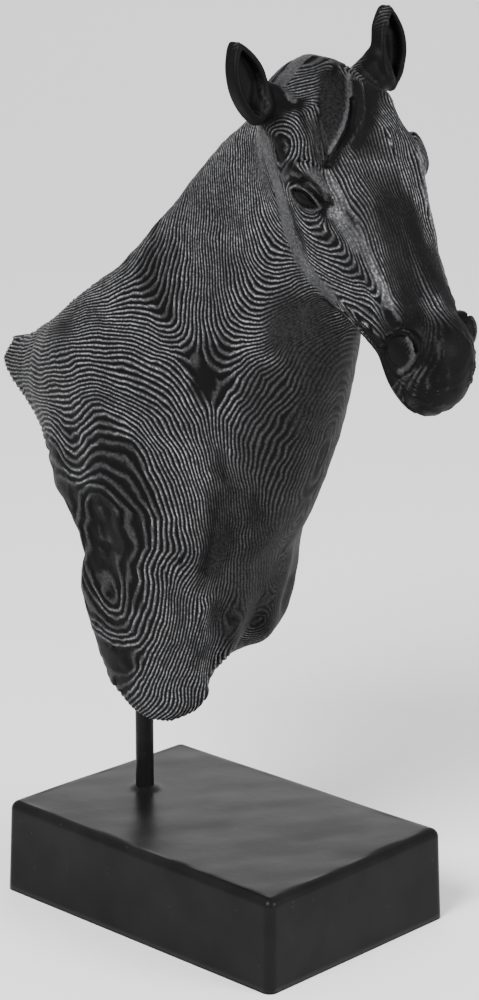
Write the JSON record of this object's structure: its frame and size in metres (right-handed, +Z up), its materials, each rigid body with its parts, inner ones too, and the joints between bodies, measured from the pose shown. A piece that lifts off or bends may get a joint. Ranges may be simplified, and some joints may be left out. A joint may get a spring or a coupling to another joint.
{
  "type": "horse head sculpture",
  "caption": "Bust of a horse with a ragged lower edge and wood-grain relief, standing on a slim rod over a rectangular block.",
  "frame": {"origin": "centre of the block's underside, where the part stands", "axes": "+Z up, +X the way the horse faces along the block's long side, +Y toward the horse's left side"},
  "size_m": [0.3276, 0.138, 0.5016],
  "materials": {
    "horse": "black cast resin, brushed grey on the ridges, low sheen",
    "rod": "satin black paint",
    "base": "satin black lacquer, softly uneven"
  },
  "bodies": {
    "root": {"horse_head": "horse", "rod": "rod", "base": "base"}
  },
  "joints": []
}
